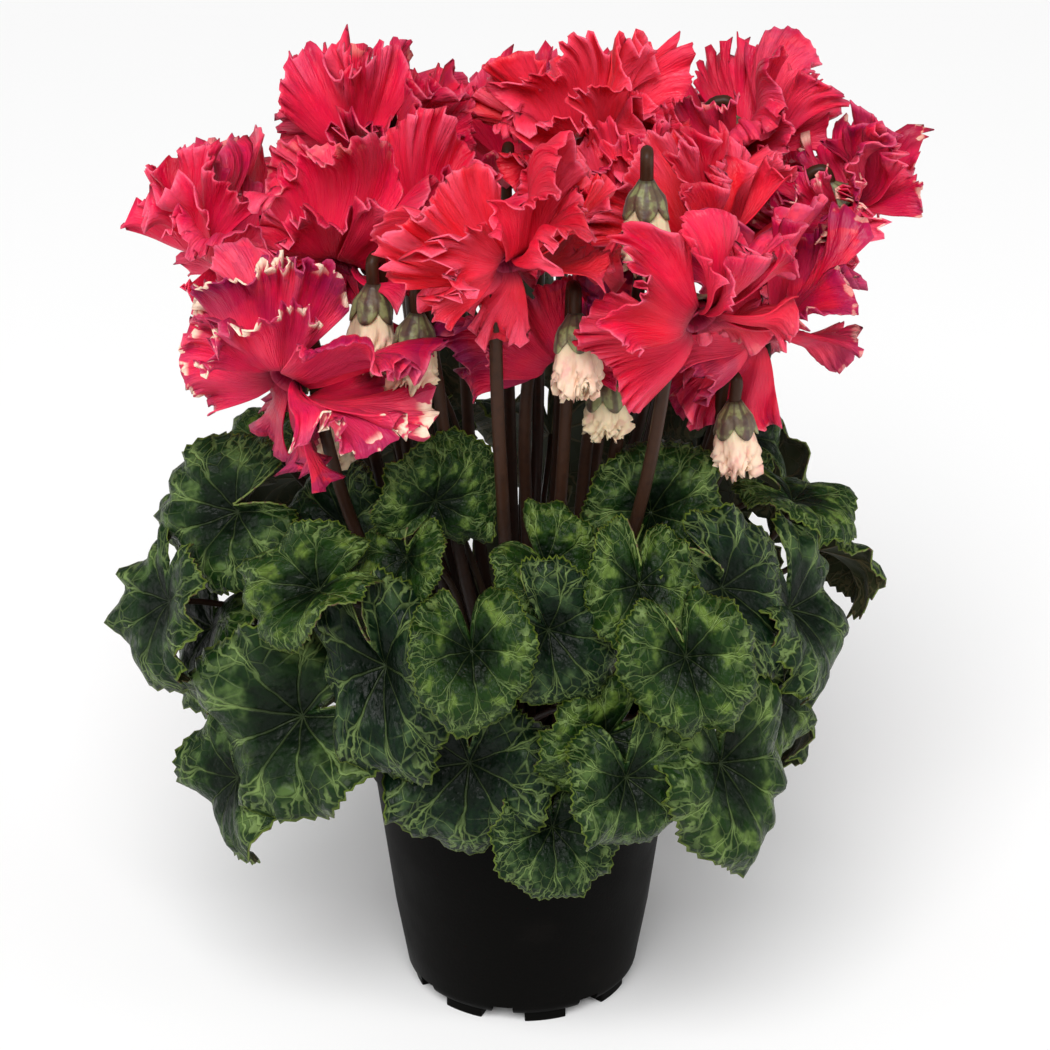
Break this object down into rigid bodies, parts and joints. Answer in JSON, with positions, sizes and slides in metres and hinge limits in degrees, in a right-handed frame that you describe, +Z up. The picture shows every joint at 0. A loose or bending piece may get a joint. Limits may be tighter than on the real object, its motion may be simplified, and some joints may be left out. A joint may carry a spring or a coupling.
{
  "type": "potted cyclamen",
  "caption": "Fringed florist's cyclamen in a round black nursery pot: a mound of toothed heart-shaped leaves under a dense head of ruffled red flowers and cream buds.",
  "frame": {"origin": "centre of the pot's foot, on the surface that it stands on", "axes": "+Z up along the pot's axis, the plant's front looks along -Y and its right side is at +X"},
  "size_m": [0.3387, 0.3163, 0.4361],
  "materials": {
    "pot": "matte near-black moulded plastic",
    "soil": "dark damp peat",
    "stalk": "satin reddish brown, fleshy",
    "leaf": "satin deep green with a pale silvery ring and a yellow-green toothed margin",
    "petal": "velvety crimson-pink, darker and purple in the shade, paler at the margins",
    "bud": "cream with a greenish flush"
  },
  "bodies": {
    "root": {"pot": "pot", "soil": "soil", "corm_and_stalks": "stalk", "leaf_a1": "leaf", "leaf_a2": "leaf", "leaf_a3": "leaf", "leaf_a4": "leaf", "leaf_a5": "leaf", "leaf_a6": "leaf", "leaf_a7": "leaf", "leaf_a8": "leaf", "leaf_a10": "leaf", "leaf_a11": "leaf", "leaf_a12": "leaf", "leaf_a13": "leaf", "leaf_b1": "leaf", "leaf_b2": "leaf", "leaf_b4": "leaf", "leaf_b5": "leaf", "leaf_b6": "leaf", "leaf_b7": "leaf", "leaf_b8": "leaf", "leaf_b11": "leaf", "leaf_b16": "leaf", "leaf_c2": "leaf", "leaf_c5": "leaf", "leaf_c7": "leaf", "leaf_c10": "leaf", "leaf_c11": "leaf", "leaf_c13": "leaf", "leaf_c14": "leaf", "flower_01": "petal", "flower_02": "petal", "flower_03": "petal", "flower_04": "petal", "flower_05": "petal", "flower_06": "petal", "flower_07": "petal", "flower_08": "petal", "flower_09": "petal", "flower_10": "petal", "flower_11": "petal", "flower_12": "petal", "flower_13": "petal", "flower_14": "petal", "flower_15": "petal", "flower_16": "petal", "flower_17": "petal", "flower_18": "petal", "flower_19": "petal", "flower_20": "petal", "bud_1": "bud", "bud_2": "bud", "bud_3": "bud", "bud_4": "bud", "bud_5": "bud", "bud_6": "bud", "bud_7": "bud"}
  },
  "joints": []
}
